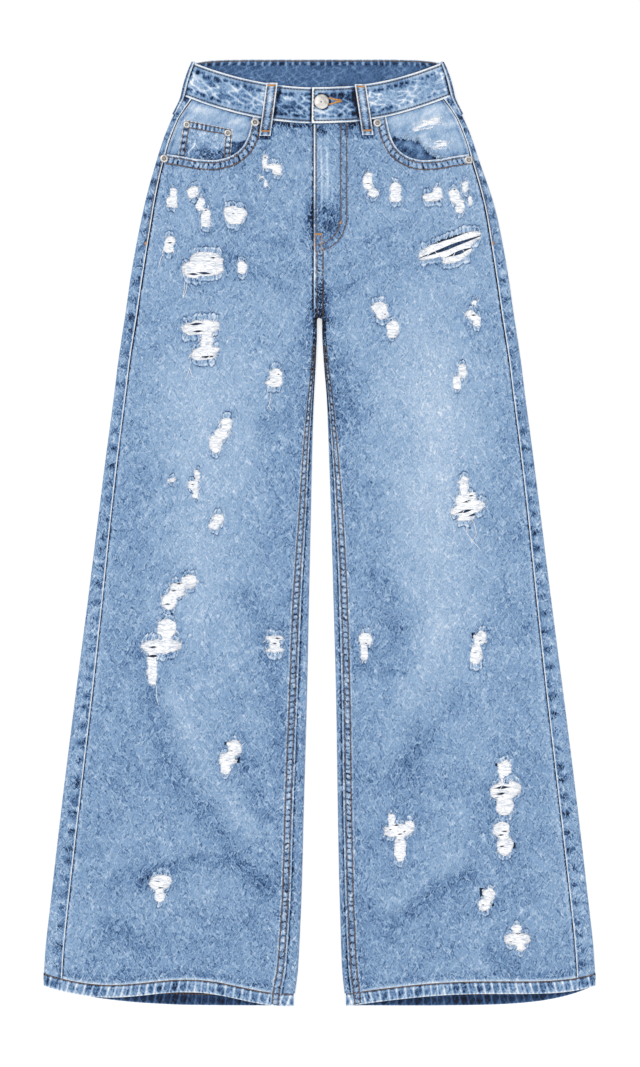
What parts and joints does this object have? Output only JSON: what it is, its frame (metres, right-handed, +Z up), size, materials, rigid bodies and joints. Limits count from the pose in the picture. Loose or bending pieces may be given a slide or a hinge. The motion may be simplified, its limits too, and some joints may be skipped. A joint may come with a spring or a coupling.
{
  "type": "ripped jeans laid flat",
  "caption": "Wide-leg ripped jeans laid flat on their back, front up, with a buttoned waistband, scooped pockets, belt loops and turned hems.",
  "frame": {"origin": "on the surface under the middle of the garment's bounding box", "axes": "+Y towards the waist, +Z up out of the front, +X towards the wearer's left leg"},
  "size_m": [0.6172, 1.059, 0.0152],
  "materials": {
    "denim": "washed light blue denim twill, worn pale on the thighs",
    "facing": "darker inside face of the denim",
    "thread": "bare white weft and tan stitching",
    "metal": "aged nickel"
  },
  "bodies": {
    "root": {"front_right": "denim", "front_left": "denim", "back_right": "denim", "back_left": "denim", "yoke_right": "denim", "yoke_left": "denim", "waistband": "denim", "hem_right": "denim", "hem_left": "denim", "coin_pocket": "denim", "back_pocket_right": "denim", "back_pocket_left": "denim", "belt_loop_front_right": "denim", "belt_loop_front_left": "denim", "belt_loop_side_right": "denim", "belt_loop_side_left": "denim", "belt_loop_back": "denim", "pocket_facing_right": "facing", "pocket_facing_left": "facing", "fly_shield": "facing", "button": "metal", "rivet_pocket_top_right": "metal", "rivet_pocket_side_right": "metal", "rivet_pocket_top_left": "metal", "rivet_pocket_side_left": "metal", "rivet_coin_outer": "metal", "rivet_coin_inner": "metal"}
  },
  "joints": []
}
